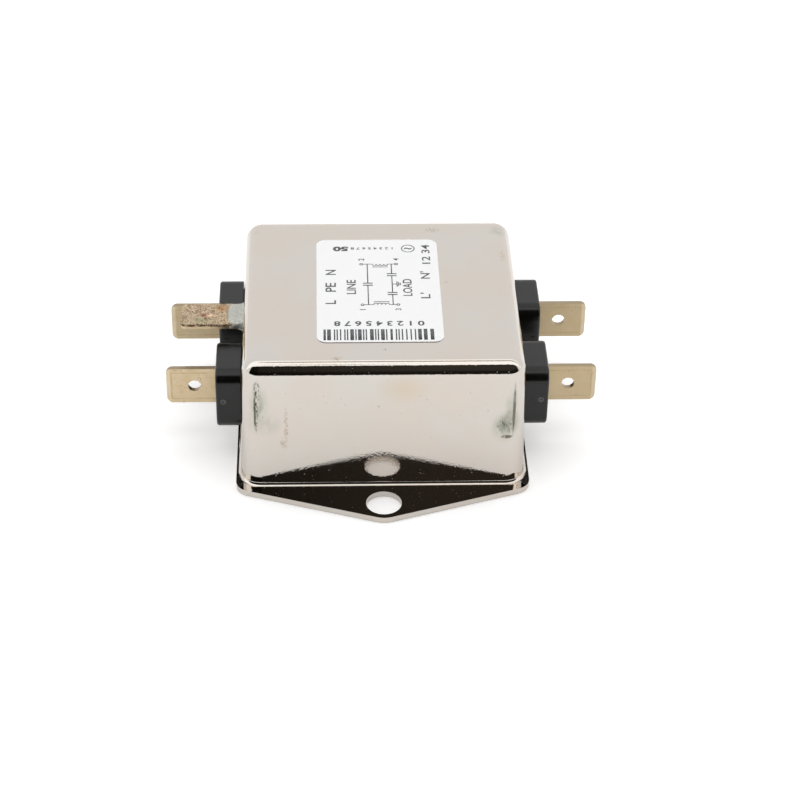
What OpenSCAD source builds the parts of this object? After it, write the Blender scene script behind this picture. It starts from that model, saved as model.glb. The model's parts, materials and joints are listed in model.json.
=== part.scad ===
// Chassis-mounting EMI line filter with quick-connect blades.
// A drawn steel can with two mounting ears holds a small filter board: a current-compensated choke, two
// capacitors across the lines, two from the lines to earth, and a bleed resistor. Each line enters and
// leaves on a flat blade in a moulded insulator, and the earth blade is soldered into the wall of the
// line side.
//
// Frame: millimetres, +Z up, +X towards the load side, ears along Y.
// The origin is the middle of the mounting face.

/* [Can] */
// Width of the can at the top, from the line side to the load side
can_w = 42.2; // [40:0.1:50]
// Length of the can at the top, along the line through the mounting holes
can_l = 40.7; // [39:0.1:44]
// Height of the can above the mounting face
can_h = 22.8; // [22:0.1:30]
// Thickness of the sheet steel
sheet = 1.0; // [0.6:0.05:1.2]
// Slope of the drawn walls, in degrees
draft = 1.4; // [0.5:0.1:2]
// Outer radius of the edge between the top and the walls
edge_r = 2.5; // [1.5:0.1:3.5]
// Flat left at the middle of each corner, between its two edge radii
corner_flat = 0.1; // [0.05:0.05:0.5]
// Inner radius of the bend between the walls and the flange
foot_r = 0.6; // [0.3:0.1:1]

/* [Flange and ears] */
// Distance between the two mounting holes
hole_spacing = 50.8; // [50:0.1:56]
// Diameter of the mounting holes
hole_d = 5.4; // [3.5:0.1:6]
// Metal left round each mounting hole at the tip of its ear
ear_land = 0.85; // [0.5:0.05:2]
// Flat rim left beside the bend on the line and load sides
side_rim = 0.19; // [0.1:0.01:1]
// Radius of the four corners of the flange
flange_corner_r = 2.5; // [1.5:0.1:3]
// Distance along Y between the centres of the flange corners
flange_corner_span = 39.8; // [39.6:0.1:41]

/* [Terminals] */
// Width of the blades
blade_w = 6.3; // [4.8:0.1:6.8]
// Thickness of the blades
blade_t = 0.8; // [0.5:0.05:1]
// Diameter of the latching hole in a blade
blade_hole_d = 2.0; // [1.2:0.1:2.2]
// Distance from a blade's tip to its latching hole
blade_hole_in = 4.3; // [3.5:0.1:5]
// Radius of the corners of a blade's tip
blade_corner_r = 0.9; // [0.5:0.1:1.4]
// Length over which a blade's tip is ground thinner
blade_lead_in = 0.8; // [0.5:0.1:2]
// Thickness of a blade at its tip
blade_tip_t = 0.45; // [0.2:0.05:0.7]
// Distance between the tips of the line and load blades
tip_span = 66.0; // [64:0.1:76]
// Height of the blades' centre line above the mounting face
terminal_z = 11.0; // [10.8:0.1:11.3]
// Distance between the two blades of one side
terminal_pitch = 17.0; // [16.6:0.1:18]
// Height of the narrow tail of a blade inside the can
tail_h = 3.2; // [2:0.1:4.5]
// Distance from the inner wall to the end of a blade's tail
tail_reach = 4.9; // [4.5:0.1:5.6]

/* [Terminal insulators] */
// Width of an insulator's head along Y
head_w = 10.1; // [9.6:0.1:10.4]
// Height of an insulator's head
head_h = 10.4; // [9.6:0.1:10.4]
// Distance between the outer faces of the line and load insulators
head_span = 50.6; // [48:0.1:56]
// Radius of the four long edges of a head
head_edge_r = 2.1; // [0.8:0.1:3]
// Radius round the outer face of a head
head_face_r = 0.4; // [0.1:0.1:0.6]
// Width and height of the neck that passes through the wall
neck = 7.4; // [7.2:0.1:7.5]
// How far the neck reaches past the inner wall
neck_reach = 2.0; // [1.6:0.1:2.4]
// Height of the two snap barbs behind the wall
barb = 0.5; // [0.2:0.05:0.55]
// Diameter of the round gate mark on the side faces of a head
gate_d = 0.7; // [0.5:0.1:1.5]
// Height of the gate mark above the blades' centre line
gate_up = 0.3; // [-2:0.1:2]

/* [Earth blade] */
// Distance from the top of the can down to the earth blade's centre plane
earth_drop = 5.1; // [4.9:0.1:5.3]
// Lean of the earth blade towards the N side, in degrees
earth_lean = 5; // [0:1:8]
// Distance from the middle of the can to the tip of the earth blade
earth_tip = 30.8; // [30:0.1:35]
// Distance from the inner wall to the inner end of the earth blade
earth_reach = 2.5; // [2:0.1:3]
// Radius of the solder bead that holds the earth blade to the wall
bead_r = 1.4; // [1.3:0.1:1.6]
// Distance from the outer wall to the middle of the solder bead
bead_out = 1.2; // [1:0.1:1.4]
// Straight length of the solder bead along the wall
bead_l = 4.0; // [3.9:0.1:4.4]
// Thickness of the tinned layer on the earth blade
tinning_t = 0.25; // [0.15:0.05:0.4]

/* [Label] */
// Width of the label along X
label_w = 19.0; // [16:0.1:24]
// Length of the label along Y
label_l = 28.0; // [20:0.1:30]
// Thickness of the label film
label_t = 0.1; // [0.08:0.01:0.2]
// Radius of the label's corners
label_r = 1.5; // [0.5:0.1:3]
// Offset of the label's centre from the middle of the top
label_shift = -0.4; // [-2:0.1:2]

/* [Closing plate and tray] */
// Thickness of the closing plate
plate_t = 0.8; // [0.6:0.05:1]
// Clearance round the closing plate
plate_gap = 0.15; // [0.05:0.01:0.3]
// Width of the adhesive bead under the edge of the closing plate
seal_w = 1.2; // [0.8:0.1:2]
// Height of the adhesive bead
seal_h = 0.9; // [0.5:0.1:1.1]
// Thickness of the insulating tray's floor
tray_floor = 0.6; // [0.4:0.1:0.8]
// Thickness of the tray's rim
tray_rim = 0.8; // [0.6:0.1:1]
// Height of the rim above the tray's floor
tray_rim_h = 1.8; // [1.7:0.1:2]
// Clearance between the tray and the inner wall
tray_gap = 0.4; // [0.2:0.05:0.5]

/* [Board] */
// Thickness of the circuit board
board_t = 1.6; // [1.2:0.1:1.6]
// Clearance of each lead in its hole in the board
lead_gap = 0.15; // [0.1:0.01:0.2]
// How far the leads stand out under the board
lead_stub = 1.4; // [1.2:0.1:1.5]
// Height of a solder joint under the board
joint_h = 1.1; // [0.8:0.1:1.2]
// Radius of a solder joint at the board
joint_r = 1.2; // [1:0.1:1.3]
// Radius of a solder joint at its tip
joint_tip_r = 0.6; // [0.55:0.05:0.8]

/* [Choke] */
// Outer diameter of the ring core
core_d = 15.0; // [13:0.1:15.5]
// Diameter of the hole in the ring core
core_hole_d = 8.4; // [8.2:0.1:9]
// Height of the ring core
core_h = 7.5; // [5:0.1:8]
// Radius of the core's coated edges
core_edge_r = 0.5; // [0.3:0.1:0.8]
// Diameter of the winding wire
wire_d = 0.8; // [0.5:0.05:0.84]
// Clearance between the core and the wire
wire_gap = 0.05; // [0.04:0.01:0.1]
// Turns in each winding
turns = 10; // [6:1:10]
// Angle that each winding covers on the core, in degrees
winding_sweep = 140; // [138:1:144]
// Thickness of the plate between the two windings
separator_t = 1.0; // [0.6:0.1:1.2]
// Thickness of the choke's base
choke_base_t = 0.8; // [0.6:0.1:1.2]
// Width of the choke's base outside its lead holes
choke_base_rim = 0.7; // [0.4:0.05:1]

/* [Capacitors and resistor] */
// Length of the capacitors across the lines
xcap_l = 18.0; // [16.5:0.1:20]
// Width of the capacitors across the lines
xcap_w = 6.5; // [5:0.1:6.8]
// Height of the capacitors across the lines
xcap_h = 12.5; // [8:0.1:13]
// Lead pitch of the capacitors across the lines
xcap_pitch = 15.0; // [14:0.1:15]
// Gap between the inner wall and the capacitors across the lines
xcap_in = 2.0; // [1.6:0.1:2.4]
// Diameter of the earth capacitors' discs
ycap_d = 8.0; // [7:0.1:9]
// Thickness of the earth capacitors' discs
ycap_t = 3.4; // [2.8:0.1:3.8]
// Lead pitch of the earth capacitors
ycap_pitch = 5.0; // [4.5:0.1:5.5]
// Distance from the inner wall to the middle of the earth capacitors
ycap_in = 7.0; // [6.8:0.1:7.2]
// Height of the earth capacitors' discs above the board
ycap_lift = 0.8; // [0.4:0.1:1.5]
// Length of the bleed resistor's body
resistor_l = 5.6; // [4.5:0.1:5.8]
// Diameter of the bleed resistor's end caps
resistor_d = 2.6; // [2:0.1:2.8]
// Lead pitch of the bleed resistor
resistor_pitch = 7.6; // [7.2:0.1:7.7]
// Diameter of the leads of capacitors and resistor
lead_d = 0.6; // [0.5:0.05:0.8]
// Diameter of the wires from the board to the blades
link_d = 0.8; // [0.6:0.05:0.9]
// Radius of the solder joints between these wires and the blades
joint_ball_r = 1.25; // [1.1:0.05:1.4]

/* [Hidden] */
$fn = 64;
fit = 0.15;                 // clearance of necks and blades in their holes
seat_gap = 0.05;            // gap round blades, behind insulator heads and beside soldered wires
eps = 0.01;                 // overshoot of cuts
gate_depth = 0.1;           // depth of the gate marks
joint_gap = 0.3;            // gap between the tray's rim and the resistor's solder joint
resistor_lift = 0.2;        // gap between the resistor's body and the board
sides = [-1, 1];

// Drawn wall, as a profile (distance from the corner's axis, height)
lean = [cos(draft), sin(draft)];                  // outward normal of the sloping wall
edge_c = [corner_flat, can_h - edge_r];           // centre of the top edge's arc
foot_c_z = sheet + foot_r;
wall_run = (edge_c.y - foot_c_z + (edge_r + foot_r) * lean.y) / lean.x;
foot_c = [edge_c.x + (edge_r + foot_r) * lean.x + wall_run * lean.y, foot_c_z];  // centre of the bend's arc
bend_out_r = foot_r + sheet;
corner_x = can_w / 2 - edge_r - corner_flat;      // axes of the four corners
corner_y = can_l / 2 - edge_r - corner_flat;

// Distance of the wall's outer and inner faces from the corner's axis, at a height
function wall_out(z) = foot_c.x - foot_r * lean.x - (z - foot_c.y + foot_r * lean.y) * tan(draft);
function wall_in(z) = foot_c.x - bend_out_r * lean.x - (z - foot_c.y + bend_out_r * lean.y) * tan(draft);

// Closing plate, tray and board, stacked from the mouth upwards
plate_z = foot_c.y;
tray_z = plate_z + plate_t;
board_z = tray_z + tray_floor + tray_rim_h;
board_top = board_z + board_t;
lead_bottom = board_z - lead_stub;
plate_r = wall_in(tray_z) - plate_gap;
tray_r = wall_in(board_z) - tray_gap;
inner_x = corner_x + wall_in(terminal_z);         // inner faces of the walls at the terminals' height
inner_y = corner_y + wall_in(board_top);

// Terminals
head_bottom = terminal_z - head_h / 2;
seat_x = corner_x + wall_out(head_bottom) + seat_gap;
blade_tip = tip_span / 2;
tail_end = inner_x - tail_reach;
neck_end = inner_x - neck_reach;
hole_side = neck + 2 * fit;
link_in = link_d / 2 + seat_gap;                  // from a blade's end to the middle of its wire
link_x = tail_end - link_in;
link_top = terminal_z + tail_h / 2;
earth_z = can_h - earth_drop;
earth_end = corner_x + wall_in(earth_z) - earth_reach;
earth_link_x = earth_end - link_in;
earth_wall_x = corner_x + wall_out(earth_z);

// Choke, standing on its base
choke_z = board_top + choke_base_t;
coil_r = wire_d / 2;
coil_off = wire_gap + coil_r;
core_z = choke_z + wire_gap + wire_d + wire_gap;
coil_in = core_hole_d / 2 - coil_off;
coil_out = core_d / 2 + coil_off;
coil_low = core_z - coil_off;
coil_high = core_z + core_h + coil_off;
coil_bend = core_edge_r + 2 * wire_gap;
coil_start = 90 - winding_sweep / 2;

// Parts on the board
xcap_y = inner_y - xcap_in - xcap_w / 2;
ycap_x = inner_x - ycap_in;
ycap_z = board_top + ycap_lift + ycap_d / 2;
resistor_x = -(corner_x + tray_r) + tray_rim + joint_r + joint_gap + resistor_pitch / 2;
resistor_y = -xcap_y;
resistor_z = board_top + resistor_lift + resistor_d / 2;

xcap_leads = [for (x = sides, y = sides) [x * xcap_pitch / 2, y * xcap_y, lead_d / 2]];
ycap_leads = [for (x = sides, y = sides) [x * ycap_x, y * ycap_pitch / 2, lead_d / 2]];
resistor_leads = [for (x = sides) [resistor_x + x * resistor_pitch / 2, resistor_y, lead_d / 2]];
coil_leads = [for (x = sides, y = sides)
    [x * coil_out * cos(coil_start), y * coil_out * sin(coil_start), coil_r]];
link_leads = [for (x = sides, y = sides) [x * link_x, y * terminal_pitch / 2, link_d / 2]];
earth_leads = [[-earth_link_x, 0, link_d / 2]];
all_leads = concat(xcap_leads, ycap_leads, resistor_leads, coil_leads, link_leads, earth_leads);

// ---- Shapes that repeat ----

// Unit normal of the line that touches two discs [x, y, r] on its outer side, going anticlockwise
function touch_normal(a, b) =
    let (run = [b.x - a.x, b.y - a.y],
         turn = atan2(run.y, run.x) - acos((a.z - b.z) / norm(run)))
    [cos(turn), sin(turn)];

// Outline that runs round a list of discs [x, y, r], given anticlockwise
module disc_outline(discs) {
    n = len(discs);
    polygon([for (i = [0 : n - 1])
        let (here = discs[i], before = discs[(i + n - 1) % n], after = discs[(i + 1) % n])
        each [[here.x, here.y] + here.z * touch_normal(before, here),
              [here.x, here.y] + here.z * touch_normal(here, after)]]);
    for (d = discs)
        translate([d.x, d.y]) circle(r = d.z);
}

// Rectangle with corner axes at +-x and +-y and rounded by r
module round_rect(x, y, r) {
    disc_outline([[x, y, r], [-x, y, r], [-x, -y, r], [x, -y, r]]);
}

// Carries a profile (distance from the corner's axis, height) round a rectangle
// with corner axes at +-x and +-y
module around(x, y) {
    for (turn = [0 : 3])
        translate([(turn % 3 == 0 ? 1 : -1) * x, (turn < 2 ? 1 : -1) * y, 0])
            rotate([0, 0, 90 * turn])
                rotate_extrude(angle = 90) children();
    for (half = [0, 180]) {
        rotate([0, 0, half]) translate([x, 0, 0]) rotate([90, 0, 0])
            linear_extrude(2 * y, center = true) children();
        rotate([0, 0, half + 90]) translate([y, 0, 0]) rotate([90, 0, 0])
            linear_extrude(2 * x, center = true) children();
    }
}

// Block w by l by h with rounded uprights and a softer rounding round its top face
module cushion_block(w, l, h, upright_r, top_r) {
    x = w / 2 - upright_r;
    y = l / 2 - upright_r;
    translate([-x, -y, 0]) cube([2 * x, 2 * y, h]);
    around(x, y) {
        square([upright_r, h - top_r]);
        square([upright_r - top_r, h]);
        translate([upright_r - top_r, h - top_r]) intersection() {
            circle(r = top_r);
            square(top_r);
        }
    }
}

// Round wire swept along a route; side_of gives a direction across the wire at each point
module wire(route, side_of, r) {
    facets = 6;
    last = len(route) - 1;
    function ahead(i) =
        let (step = route[min(i + 1, last)] - route[max(i - 1, 0)])
        step / norm(step);
    function across(i) =
        let (flat = side_of[i] - (side_of[i] * ahead(i)) * ahead(i))
        flat / norm(flat);
    rings = [for (i = [0 : last], k = [0 : facets - 1])
        route[i] + r * (cos(360 * k / facets) * across(i)
                        + sin(360 * k / facets) * cross(ahead(i), across(i)))];
    walls = [for (i = [0 : last - 1], k = [0 : facets - 1])
        let (a = i * facets + k, b = i * facets + (k + 1) % facets)
        each [[a, b, a + facets], [b, b + facets, a + facets]]];
    start_cap = [for (k = [facets - 1 : -1 : 0]) k];
    end_cap = [for (k = [0 : facets - 1]) last * facets + k];
    skin = concat([start_cap], walls, [end_cap]);
    polyhedron(points = rings, faces = [for (f = skin) [for (i = [len(f) - 1 : -1 : 0]) f[i]]]);
}

// Straight lead from under the board up to a height
module lead(spot, top) {
    translate([spot.x, spot.y, lead_bottom]) cylinder(r = spot.z, h = top - lead_bottom);
}

// ---- Can, label and closing parts ----

module can_profile() {
    reach = 2 * (edge_r + bend_out_r);
    polygon([foot_c - foot_r * lean, edge_c + edge_r * lean,
             edge_c + (edge_r - sheet) * lean, foot_c - bend_out_r * lean]);
    translate(edge_c) intersection() {
        difference() {
            circle(r = edge_r);
            circle(r = edge_r - sheet);
        }
        polygon([[0, 0], reach * lean, [reach, reach], [0, reach]]);
    }
    translate(foot_c) intersection() {
        difference() {
            circle(r = bend_out_r);
            circle(r = foot_r);
        }
        polygon([[0, 0], -reach * lean, [-reach, -reach], [0, -reach]]);
    }
    translate([0, can_h - sheet]) square([edge_c.x, sheet]);
}

module flange_outline() {
    x = corner_x + foot_c.x + side_rim - flange_corner_r;
    y = flange_corner_span / 2;
    tip_r = hole_d / 2 + ear_land;
    disc_outline([[x, y, flange_corner_r], [0, hole_spacing / 2, tip_r], [-x, y, flange_corner_r],
                  [-x, -y, flange_corner_r], [0, -hole_spacing / 2, tip_r], [x, -y, flange_corner_r]]);
}

module case_can() {
    color("gainsboro") difference() {
        union() {
            around(corner_x, corner_y) can_profile();
            translate([-corner_x, -corner_y, can_h - sheet]) cube([2 * corner_x, 2 * corner_y, sheet]);
            linear_extrude(sheet) difference() {
                flange_outline();
                round_rect(corner_x, corner_y, foot_c.x);
            }
        }
        for (y = sides)
            translate([0, y * hole_spacing / 2, -eps]) cylinder(d = hole_d, h = sheet + 2 * eps);
        for (x = sides, y = sides)
            translate([x * inner_x, y * terminal_pitch / 2, terminal_z])
                cube([4 * sheet, hole_side, hole_side], center = true);
        at_earth() translate([earth_wall_x, 0, 0])
            cube([4 * sheet, blade_w + 2 * fit, blade_t + 2 * fit], center = true);
    }
}

module label() {
    color("white") translate([label_shift, label_shift, can_h]) linear_extrude(label_t)
        round_rect(label_w / 2 - label_r, label_l / 2 - label_r, label_r);
}

module base_plate() {
    color("silver") translate([0, 0, plate_z]) linear_extrude(plate_t)
        round_rect(corner_x, corner_y, plate_r);
}

module mouth_seal() {
    color("dimgray") around(corner_x, corner_y) difference() {
        translate([plate_r - seal_w, plate_z - seal_h]) square([foot_c.x - plate_r + seal_w, seal_h]);
        translate(foot_c) circle(r = bend_out_r);
    }
}

// ---- Terminals ----

// One insulator with its axis along +X through the origin
module insulator() {
    difference() {
        union() {
            translate([seat_x, 0, 0]) rotate([0, 90, 0])
                cushion_block(head_h, head_w, head_span / 2 - seat_x, head_edge_r, head_face_r);
            translate([neck_end, -neck / 2, -neck / 2]) cube([seat_x + sheet - neck_end, neck, neck]);
            for (flip = [0, 1]) mirror([0, 0, flip])
                translate([0, neck / 2, neck / 2]) rotate([90, 0, 0]) linear_extrude(neck)
                    polygon([[neck_end, 0], [inner_x - 2 * fit, barb], [inner_x - 2 * fit, 0]]);
        }
        translate([neck_end - eps, -blade_t / 2 - seat_gap, -blade_w / 2 - seat_gap])
            cube([head_span / 2 - neck_end + 2 * eps, blade_t + 2 * seat_gap, blade_w + 2 * seat_gap]);
        for (y = sides)
            translate([head_span / 2 - gate_d - head_face_r, y * head_w / 2, gate_up])
                rotate([90, 0, 0]) cylinder(d = gate_d, h = 2 * gate_depth, center = true);
    }
}

// Outline of a blade's full-width part, from a start to its tip, with rounded corners at the tip
module blade_outline(start, tip) {
    w = blade_w / 2;
    x = tip - blade_corner_r;
    y = w - blade_corner_r;
    polygon([[start, -w], [x, -w], [tip, -y], [tip, y], [x, w], [start, w]]);
    for (side = sides)
        translate([x, side * y]) circle(r = blade_corner_r);
}

// One line or load blade with its axis along +X through the origin, standing on edge
module blade() {
    t = blade_t / 2;
    difference() {
        intersection() {
            translate([0, t, 0]) rotate([90, 0, 0]) linear_extrude(blade_t) {
                blade_outline(neck_end, blade_tip);
                translate([tail_end, -tail_h / 2]) square([neck_end - tail_end + eps, tail_h]);
            }
            linear_extrude(2 * blade_w, center = true)
                polygon([[tail_end, -t], [blade_tip - blade_lead_in, -t], [blade_tip, -blade_tip_t / 2],
                         [blade_tip, blade_tip_t / 2], [blade_tip - blade_lead_in, t], [tail_end, t]]);
        }
        translate([blade_tip - blade_hole_in, 0, 0]) rotate([90, 0, 0])
            cylinder(d = blade_hole_d, h = 2 * blade_t, center = true);
    }
}

// Puts a terminal piece on the load side (side 1) or the line side (side -1), at the L (-1) or N (1) place
module at_terminal(side, place) {
    translate([0, place * terminal_pitch / 2, terminal_z]) rotate([0, 0, side > 0 ? 0 : 180]) children();
}

module insulator_line_l() { color("dimgray") at_terminal(-1, -1) insulator(); }
module insulator_line_n() { color("dimgray") at_terminal(-1, 1) insulator(); }
module insulator_load_l() { color("dimgray") at_terminal(1, -1) insulator(); }
module insulator_load_n() { color("dimgray") at_terminal(1, 1) insulator(); }

module blade_line_l() { color("tan") at_terminal(-1, -1) blade(); }
module blade_line_n() { color("tan") at_terminal(-1, 1) blade(); }
module blade_load_l() { color("tan") at_terminal(1, -1) blade(); }
module blade_load_n() { color("tan") at_terminal(1, 1) blade(); }

// Puts a piece made along +X at the earth blade's place on the line side, where the blade leans a little
module at_earth() {
    translate([0, 0, earth_z]) rotate([earth_lean, 0, 180]) children();
}

// The earth blade lies flat and passes through a slot in the wall of the line side
module earth_blade() {
    color("tan") at_earth() difference() {
        linear_extrude(blade_t, center = true) blade_outline(earth_end, earth_tip);
        translate([earth_tip - blade_hole_in, 0, 0])
            cylinder(d = blade_hole_d, h = 2 * blade_t, center = true);
    }
}

// Bead of solder between the earth blade and the wall
module earth_solder() {
    bead_x = earth_wall_x + bead_out;
    color("darkgray") difference() {
        at_earth() {
            translate([bead_x, 0, 0]) rotate([90, 0, 0]) cylinder(r = bead_r, h = bead_l, center = true);
            for (y = sides)
                translate([bead_x, y * bead_l / 2, 0]) sphere(r = bead_r);
        }
        rotate([90, 0, 0]) linear_extrude(2 * blade_w, center = true)
            polygon([for (z = [earth_z - 2 * bead_r, earth_z + 2 * bead_r]) [-corner_x - wall_out(z), z],
                     [0, earth_z + 2 * bead_r], [0, earth_z - 2 * bead_r]]);
        at_earth() translate([bead_x, 0, 0]) cube([4 * bead_r, blade_w, blade_t], center = true);
    }
}

// Rough tinned layer on the top of the earth blade, which fills its hole
module earth_tinning() {
    far = earth_tip - blade_corner_r;
    near = earth_wall_x + bead_out + bead_r;
    corner_r = 0.8;
    color("rosybrown") at_earth() {
        translate([(far + near) / 2, 0, blade_t / 2]) linear_extrude(tinning_t)
            round_rect((far - near) / 2 - corner_r, blade_w / 2 - 2 * eps - corner_r, corner_r);
        translate([earth_tip - blade_hole_in, 0, -blade_t / 2]) cylinder(d = blade_hole_d, h = blade_t);
    }
}

// ---- Tray and board ----

module insulating_tray() {
    color("ivory") translate([0, 0, tray_z]) difference() {
        linear_extrude(tray_floor + tray_rim_h) round_rect(corner_x, corner_y, tray_r);
        translate([0, 0, tray_floor]) linear_extrude(tray_rim_h + eps)
            round_rect(corner_x, corner_y, tray_r - tray_rim);
    }
}

module circuit_board() {
    color("darkkhaki") translate([0, 0, board_z]) linear_extrude(board_t) difference() {
        round_rect(corner_x, corner_y, tray_r);
        for (spot = all_leads)
            translate([spot.x, spot.y]) circle(r = spot.z + lead_gap);
    }
}

module board_solder() {
    color("lightgray") for (spot = all_leads)
        translate([spot.x, spot.y, board_z - joint_h]) difference() {
            cylinder(r1 = joint_tip_r, r2 = joint_r, h = joint_h);
            translate([0, 0, -eps]) cylinder(r = spot.z, h = joint_h + 2 * eps);
        }
}

// ---- Choke ----

module choke_base() {
    color("ivory") translate([0, 0, board_top]) linear_extrude(choke_base_t) difference() {
        circle(r = coil_out + coil_r + lead_gap + choke_base_rim);
        for (spot = coil_leads)
            translate([spot.x, spot.y]) circle(r = spot.z + lead_gap);
    }
}

module choke_core() {
    color("darkslategray") translate([0, 0, core_z]) rotate_extrude() {
        inner = core_hole_d / 2;
        outer = core_d / 2;
        translate([inner + core_edge_r, 0]) square([outer - inner - 2 * core_edge_r, core_h]);
        translate([inner, core_edge_r]) square([outer - inner, core_h - 2 * core_edge_r]);
        for (r = [inner + core_edge_r, outer - core_edge_r], z = [core_edge_r, core_h - core_edge_r])
            translate([r, z]) circle(r = core_edge_r);
    }
}

module choke_separator() {
    span = core_hole_d - 2 * fit;
    color("ivory") translate([-span / 2, -separator_t / 2, choke_z])
        cube([span, separator_t, coil_high + coil_r - choke_z]);
}

// One turn round the core's section: up the outside, in over the top, down the hole and out underneath
coil_corners = [[coil_out - coil_bend, coil_high - coil_bend, 0],
                [coil_in + coil_bend, coil_high - coil_bend, 90],
                [coil_in + coil_bend, coil_low + coil_bend, 180],
                [coil_out - coil_bend, coil_low + coil_bend, 270]];
coil_turn = [for (c = coil_corners, a = [0, 45, 90])
    [c.x + coil_bend * cos(c.z + a), c.y + coil_bend * sin(c.z + a)]];
coil_steps = turns * len(coil_turn) - 3;

// Two straight leads with the turns between them, as [distance from the axis, height, angle]
coil_route = concat(
    [[coil_out, lead_bottom, coil_start]],
    [for (i = [0 : coil_steps])
        let (point = coil_turn[i % len(coil_turn)])
        [point.x, point.y, coil_start + winding_sweep * i / coil_steps]],
    [for (a = [45, 0]) [coil_out - coil_bend + coil_bend * cos(a),
                        coil_low - coil_bend + coil_bend * sin(a), 180 - coil_start]],
    [[coil_out, lead_bottom, 180 - coil_start]]);

module winding() {
    color("peru") wire([for (p = coil_route) [p.x * cos(p.z), p.x * sin(p.z), p.y]],
                       [for (p = coil_route) [-sin(p.z), cos(p.z), 0]], coil_r);
}

module choke_winding_l() { rotate([0, 0, 180]) winding(); }
module choke_winding_n() { winding(); }

// ---- Parts on the board ----

module x_capacitor(place) {
    edge = 0.5;
    color("gold") {
        translate([0, place * xcap_y, board_top]) cushion_block(xcap_l, xcap_w, xcap_h, 2 * edge, edge);
        for (x = sides)
            lead([x * xcap_pitch / 2, place * xcap_y, lead_d / 2], board_top + edge);
    }
}

module x_capacitor_line() { x_capacitor(1); }
module x_capacitor_load() { x_capacitor(-1); }

module y_capacitor(side) {
    rim = ycap_t / 3;
    color("steelblue") {
        translate([side * ycap_x, 0, ycap_z]) rotate([0, 90, 0]) rotate_extrude() {
            translate([0, -ycap_t / 2]) square([ycap_d / 2 - rim, ycap_t]);
            translate([0, rim - ycap_t / 2]) square([ycap_d / 2, ycap_t - 2 * rim]);
            for (z = [rim - ycap_t / 2, ycap_t / 2 - rim])
                translate([ycap_d / 2 - rim, z]) circle(r = rim);
        }
        for (y = sides)
            lead([side * ycap_x, y * ycap_pitch / 2, lead_d / 2], ycap_z - ycap_d / 4);
    }
}

module y_capacitor_line() { y_capacitor(-1); }
module y_capacitor_load() { y_capacitor(1); }

module bleed_resistor() {
    cap_l = resistor_l / 4;
    cap_step = 0.2;
    color("khaki") {
        translate([resistor_x, resistor_y, resistor_z]) rotate([0, 90, 0]) {
            cylinder(d = resistor_d - 2 * cap_step, h = resistor_l - 2 * eps, center = true);
            for (x = sides)
                translate([0, 0, x * (resistor_l - cap_l) / 2])
                    cylinder(d = resistor_d, h = cap_l, center = true);
            cylinder(d = lead_d, h = resistor_pitch, center = true);
        }
        for (spot = resistor_leads) {
            lead(spot, resistor_z);
            translate([spot.x, spot.y, resistor_z]) sphere(r = spot.z);
        }
    }
}

// ---- Wires from the board to the blades ----

module link_wire(side, place) {
    color("silver") lead([side * link_x, place * terminal_pitch / 2, link_d / 2], link_top);
}

module link_wire_line_l() { link_wire(-1, -1); }
module link_wire_line_n() { link_wire(-1, 1); }
module link_wire_load_l() { link_wire(1, -1); }
module link_wire_load_n() { link_wire(1, 1); }

module earth_wire() {
    color("silver") lead(earth_leads[0], earth_z + blade_t);
}

// Ball of solder round an upright wire and the end of a blade beside it, which may lean
module tail_joint(x, end_w, end_h, tilt = 0) {
    difference() {
        translate([x - link_in / 2, 0, 0]) sphere(r = joint_ball_r);
        translate([x - link_in, 0, 0]) cylinder(d = link_d, h = 4 * joint_ball_r, center = true);
        rotate([tilt, 0, 0]) translate([x, -end_w / 2, -end_h / 2]) cube([2 * joint_ball_r, end_w, end_h]);
    }
}

module terminal_solder() {
    color("lightgray") {
        for (side = sides, place = sides)
            at_terminal(side, place) tail_joint(tail_end, blade_t, tail_h);
        translate([0, 0, earth_z]) rotate([0, 0, 180])
            tail_joint(earth_end, blade_w, blade_t, earth_lean);
    }
}

case_can();
base_plate();
mouth_seal();
label();
insulator_line_l();
insulator_line_n();
insulator_load_l();
insulator_load_n();
blade_line_l();
blade_line_n();
blade_load_l();
blade_load_n();
earth_blade();
earth_solder();
earth_tinning();
insulating_tray();
circuit_board();
board_solder();
choke_base();
choke_core();
choke_separator();
choke_winding_l();
choke_winding_n();
x_capacitor_line();
x_capacitor_load();
y_capacitor_line();
y_capacitor_load();
bleed_resistor();
link_wire_line_l();
link_wire_line_n();
link_wire_load_l();
link_wire_load_n();
earth_wire();
terminal_solder();
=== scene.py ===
# %% [markdown]
# # EMI line filter
# A chassis-mounting mains filter: a drawn, nickel-plated steel can with two ears, four quick-connect
# blades in black insulators, and an earth blade soldered to the wall. The solids come from the packed
# frame, already in place. This file gives each surface its finish, replaces the two rough solder
# pieces with sculpted ones, and prints the label.

# %% Frame
import json
import math
import random

import bmesh
import bpy
from mathutils import Matrix, Vector, noise


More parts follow.
